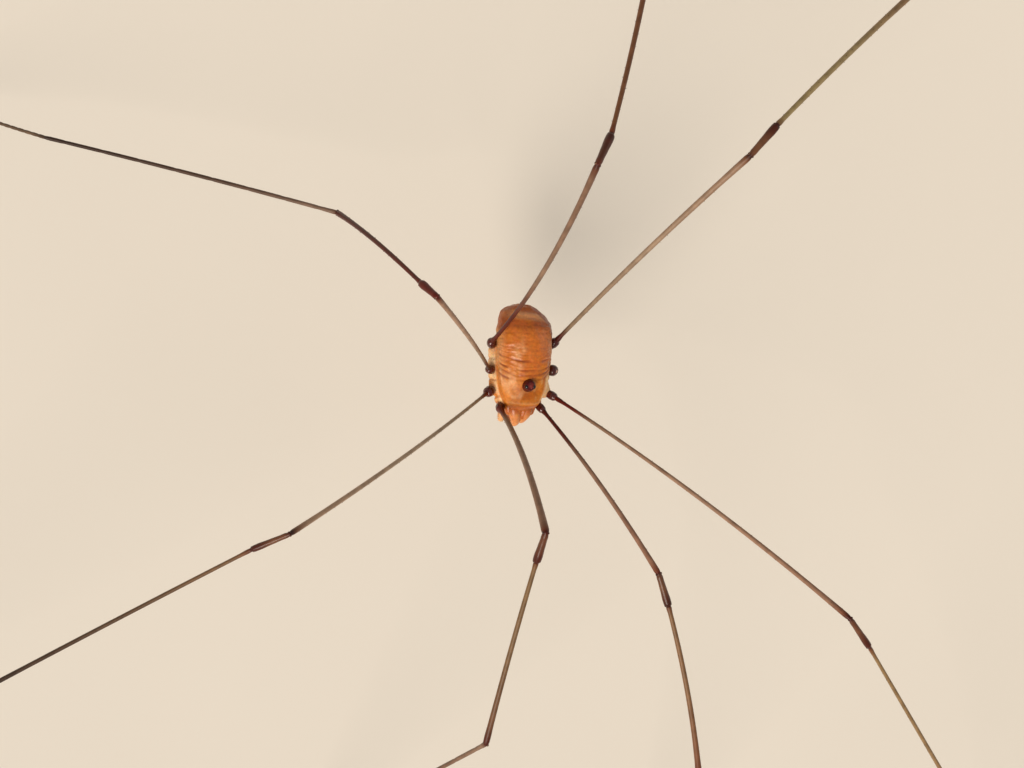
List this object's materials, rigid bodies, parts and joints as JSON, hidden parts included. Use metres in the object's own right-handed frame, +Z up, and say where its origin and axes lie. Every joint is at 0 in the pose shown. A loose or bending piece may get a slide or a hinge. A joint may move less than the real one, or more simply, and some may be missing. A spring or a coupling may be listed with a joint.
{
  "type": "harvestman",
  "caption": "Still, life-size harvestman with an orange oval body, a dark eye mound and long thread legs, standing with its knees raised and its feet laid on the floor.",
  "frame": {"origin": "on the floor, under the middle of the model's box", "axes": "+Z up from the floor; the head points to -Y; the animal's left side is towards +X"},
  "size_m": [0.1206, 0.1272, 0.0223],
  "materials": {
    "shield": "satin golden orange cuticle",
    "belly": "satin reddish orange cuticle with low cross folds",
    "eye_mound": "dark maroon cuticle",
    "eye": "glossy black lens",
    "jaw": "smooth pale orange cuticle with dark finger tips",
    "palp": "pale cuticle with short hairs",
    "coxa": "cream cuticle",
    "trochanter": "glossy dark maroon cuticle",
    "femur": "satin olive brown cuticle, darker at both ends",
    "patella": "dark maroon brown cuticle",
    "tibia": "satin brown cuticle, dark at the far end",
    "metatarsus": "grey brown cuticle",
    "tarsus": "grey brown cuticle of many short rings"
  },
  "bodies": {
    "root": {"chelicera_left": "jaw", "chelicera_right": "jaw", "coxa_left_1": "coxa", "coxa_left_2": "coxa", "coxa_left_3": "coxa", "coxa_left_4": "coxa", "coxa_right_1": "coxa", "coxa_right_2": "coxa", "coxa_right_3": "coxa", "coxa_right_4": "coxa", "eye_left": "eye", "eye_right": "eye", "femur_left_1": "femur", "femur_left_2": "femur", "femur_left_4": "femur", "femur_right_1": "femur", "femur_right_2": "femur", "femur_right_3": "femur", "femur_right_4": "femur", "metatarsus_left_1": "metatarsus", "metatarsus_left_2": "metatarsus", "metatarsus_left_4": "metatarsus", "metatarsus_right_1": "metatarsus", "metatarsus_right_2": "metatarsus", "metatarsus_right_3": "metatarsus", "metatarsus_right_4": "metatarsus", "ocularium": "eye_mound", "opisthosoma": "belly", "patella_left_1": "patella", "patella_left_2": "patella", "patella_left_4": "patella", "patella_right_1": "patella", "patella_right_2": "patella", "patella_right_3": "patella", "patella_right_4": "patella", "pedipalp_left": "palp", "pedipalp_right": "palp", "prosoma": "shield", "tarsus_left_1": "tarsus", "tarsus_left_2": "tarsus", "tarsus_left_4": "tarsus", "tarsus_right_1": "tarsus", "tarsus_right_2": "tarsus", "tarsus_right_3": "tarsus", "tarsus_right_4": "tarsus", "tibia_left_1": "tibia", "tibia_left_2": "tibia", "tibia_left_4": "tibia", "tibia_right_1": "tibia", "tibia_right_2": "tibia", "tibia_right_3": "tibia", "tibia_right_4": "tibia", "trochanter_left_1": "trochanter", "trochanter_left_2": "trochanter", "trochanter_left_3": "trochanter", "trochanter_left_4": "trochanter", "trochanter_right_1": "trochanter", "trochanter_right_2": "trochanter", "trochanter_right_3": "trochanter", "trochanter_right_4": "trochanter"}
  },
  "joints": []
}
